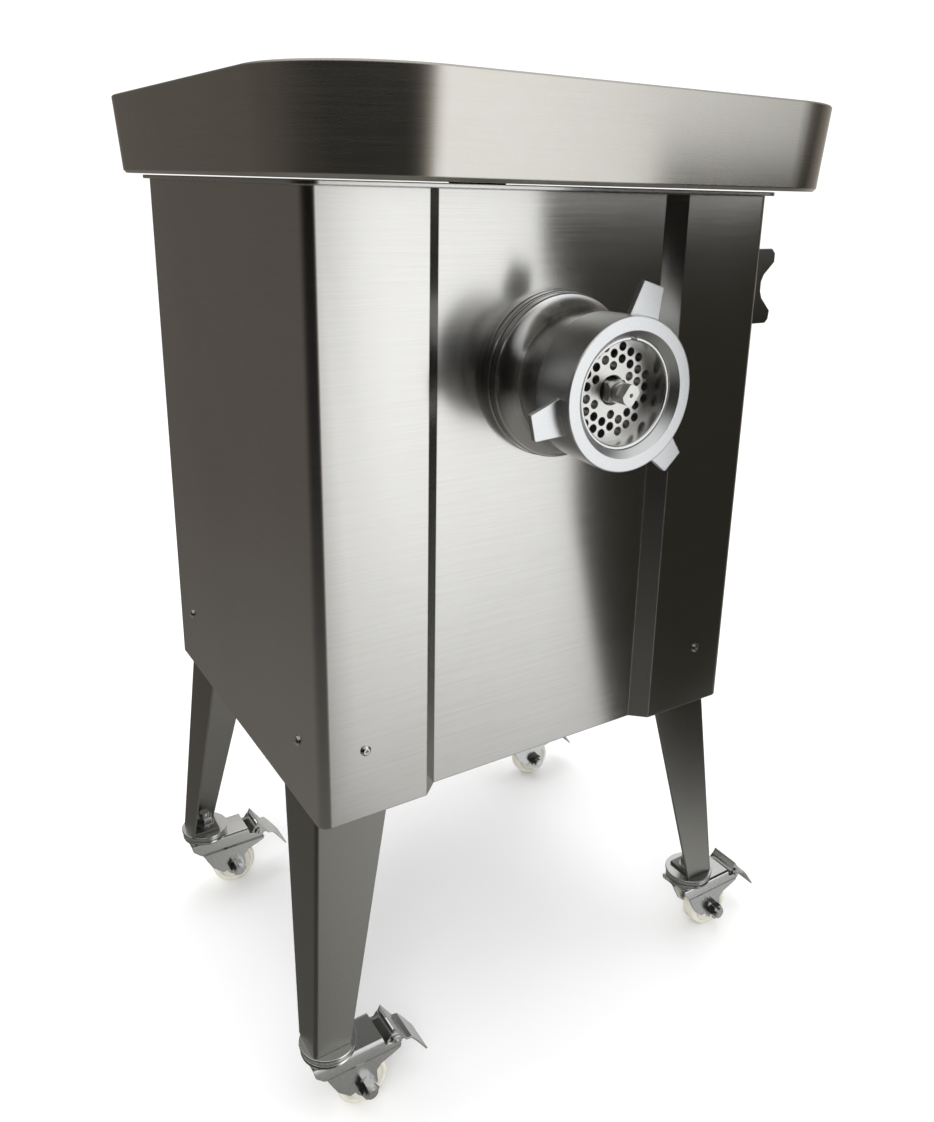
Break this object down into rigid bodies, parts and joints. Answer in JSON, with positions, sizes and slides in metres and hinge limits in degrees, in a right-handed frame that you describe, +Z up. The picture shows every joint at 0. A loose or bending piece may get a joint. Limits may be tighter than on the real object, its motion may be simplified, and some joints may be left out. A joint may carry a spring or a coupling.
{
  "type": "floor-standing meat mincer",
  "caption": "Stainless floor-standing meat mincer: cabinet on splayed legs with braked castors, wide feed pan, and a screw mincing head driven by belt and gears.",
  "frame": {"origin": "on the floor under the middle of the bounding box, castor pedals included", "axes": "+Z up, the mincing head faces -Y, the cable cleat is on the +X side"},
  "size_m": [0.6344, 0.599, 0.984],
  "materials": {
    "cabinet_steel": "brushed with a horizontal grain",
    "pan_steel": "fine brushed",
    "leg_steel": "satin, bead blasted",
    "inner_steel": "galvanised sheet",
    "head_steel": "turned stainless",
    "nut_steel": "satin blasted cast stainless",
    "tool_steel": "ground tool steel",
    "zinc_steel": "bright zinc plate",
    "fastener_steel": "polished",
    "nylon": "natural nylon",
    "gear_steel": "oiled",
    "bearing_steel": "ground",
    "cast_iron": "painted casting",
    "motor_paint": "satin paint",
    "copper": "rotor core",
    "rubber": "matt",
    "box_plastic": "moulded",
    "green_plastic": "moulded",
    "red_plastic": "moulded"
  },
  "bodies": {
    "frame": {"casing": "cabinet_steel", "rear_cover": "cabinet_steel", "top_plate": "cabinet_steel", "switch_plate": "cabinet_steel", "base_plate": "inner_steel", "drive_stand": "inner_steel", "cable_cleat": "leg_steel", "casing_screws": "fastener_steel", "cover_screws": "fastener_steel", "drive_bolts": "fastener_steel", "cable_gland": "box_plastic", "control_box": "box_plastic", "leg_front_left": "leg_steel", "castor_head_front_left": "zinc_steel", "leg_front_right": "leg_steel", "castor_head_front_right": "zinc_steel", "leg_rear_left": "leg_steel", "castor_head_rear_left": "zinc_steel", "leg_rear_right": "leg_steel", "castor_head_rear_right": "zinc_steel", "socket_ring": "head_steel", "barrel": "head_steel", "spacer_ring": "head_steel", "hole_plate": "tool_steel", "plate_key": "tool_steel", "bearings": "bearing_steel", "shaft_seal": "rubber", "drive_belt": "rubber", "gearbox_housing": "cast_iron", "gearbox_cover": "cast_iron", "motor_housing": "motor_paint"},
    "pan": {"feed_pan": "pan_steel", "feed_neck": "pan_steel"},
    "nut": {"ring_nut": "nut_steel"},
    "auger": {"worm": "tool_steel", "knife": "tool_steel", "drive_shaft": "gear_steel", "drive_gear": "gear_steel"},
    "layshaft": {"pinion_shaft": "gear_steel", "big_pulley": "cast_iron"},
    "rotor": {"motor_rotor": "copper", "motor_pulley": "cast_iron"},
    "start": {"start_button": "green_plastic"},
    "stop": {"stop_button": "red_plastic"},
    "castor_front_left": {"fork_front_left": "zinc_steel", "axle_front_left": "fastener_steel"},
    "roller_front_left": {"wheel_front_left": "nylon"},
    "brake_front_left": {"pedal_front_left": "zinc_steel"},
    "castor_front_right": {"fork_front_right": "zinc_steel", "axle_front_right": "fastener_steel"},
    "roller_front_right": {"wheel_front_right": "nylon"},
    "brake_front_right": {"pedal_front_right": "zinc_steel"},
    "castor_rear_left": {"fork_rear_left": "zinc_steel", "axle_rear_left": "fastener_steel"},
    "roller_rear_left": {"wheel_rear_left": "nylon"},
    "brake_rear_left": {"pedal_rear_left": "zinc_steel"},
    "castor_rear_right": {"fork_rear_right": "zinc_steel", "axle_rear_right": "fastener_steel"},
    "roller_rear_right": {"wheel_rear_right": "nylon"},
    "brake_rear_right": {"pedal_rear_right": "zinc_steel"}
  },
  "joints": [
    {"name": "pan_lift", "type": "slide", "parent": "frame", "child": "pan", "axis": [0, 0, 1], "range_m": [0, 0.11]},
    {"name": "nut_turn", "type": "hinge", "parent": "frame", "child": "nut", "pos_m": [-0.03125, -0.2735, 0.74], "axis": [0, -1, 0], "range_deg": [0, 900]},
    {"name": "worm_spin", "type": "hinge", "parent": "frame", "child": "auger", "pos_m": [-0.03125, -0.0935, 0.74], "axis": [0, -1, 0], "continuous": true},
    {"name": "layshaft_spin", "type": "hinge", "parent": "frame", "child": "layshaft", "pos_m": [-0.03125, 0.0665, 0.645], "axis": [0, -1, 0], "continuous": true},
    {"name": "motor_spin", "type": "hinge", "parent": "frame", "child": "rotor", "pos_m": [-0.03125, 0.0065, 0.475], "axis": [0, -1, 0], "continuous": true},
    {"name": "start_press", "type": "slide", "parent": "frame", "child": "start", "axis": [-1, 0, 0], "range_m": [0, 0.003], "stiffness_N_per_m": 300},
    {"name": "stop_press", "type": "slide", "parent": "frame", "child": "stop", "axis": [-1, 0, 0], "range_m": [0, 0.003], "stiffness_N_per_m": 300},
    {"name": "swivel_front_left", "type": "hinge", "parent": "frame", "child": "castor_front_left", "pos_m": [-0.27575, -0.1905, 0.082], "axis": [0, 0, 1], "continuous": true},
    {"name": "roll_front_left", "type": "hinge", "parent": "castor_front_left", "child": "roller_front_left", "pos_m": [-0.24175, -0.1905, 0.0275], "axis": [0, 1, 0], "continuous": true},
    {"name": "brake_front_left", "type": "hinge", "parent": "castor_front_left", "child": "brake_front_left", "pos_m": [-0.20925, -0.1905, 0.069], "axis": [0, 1, 0], "range_deg": [0, 14]},
    {"name": "swivel_front_right", "type": "hinge", "parent": "frame", "child": "castor_front_right", "pos_m": [0.21325, -0.1905, 0.082], "axis": [0, 0, 1], "continuous": true},
    {"name": "roll_front_right", "type": "hinge", "parent": "castor_front_right", "child": "roller_front_right", "pos_m": [0.24725, -0.1905, 0.0275], "axis": [0, 1, 0], "continuous": true},
    {"name": "brake_front_right", "type": "hinge", "parent": "castor_front_right", "child": "brake_front_right", "pos_m": [0.27975, -0.1905, 0.069], "axis": [0, 1, 0], "range_deg": [0, 14]},
    {"name": "swivel_rear_left", "type": "hinge", "parent": "frame", "child": "castor_rear_left", "pos_m": [-0.27575, 0.2035, 0.082], "axis": [0, 0, 1], "continuous": true},
    {"name": "roll_rear_left", "type": "hinge", "parent": "castor_rear_left", "child": "roller_rear_left", "pos_m": [-0.24175, 0.2035, 0.0275], "axis": [0, 1, 0], "continuous": true},
    {"name": "brake_rear_left", "type": "hinge", "parent": "castor_rear_left", "child": "brake_rear_left", "pos_m": [-0.20925, 0.2035, 0.069], "axis": [0, 1, 0], "range_deg": [0, 14]},
    {"name": "swivel_rear_right", "type": "hinge", "parent": "frame", "child": "castor_rear_right", "pos_m": [0.21325, 0.2035, 0.082], "axis": [0, 0, 1], "continuous": true},
    {"name": "roll_rear_right", "type": "hinge", "parent": "castor_rear_right", "child": "roller_rear_right", "pos_m": [0.24725, 0.2035, 0.0275], "axis": [0, 1, 0], "continuous": true},
    {"name": "brake_rear_right", "type": "hinge", "parent": "castor_rear_right", "child": "brake_rear_right", "pos_m": [0.27975, 0.2035, 0.069], "axis": [0, 1, 0], "range_deg": [0, 14]}
  ],
  "couplings": [
    {"joint": "layshaft_spin", "follows": "worm_spin", "ratio": -3.2222},
    {"joint": "motor_spin", "follows": "worm_spin", "ratio": -8.0556}
  ]
}
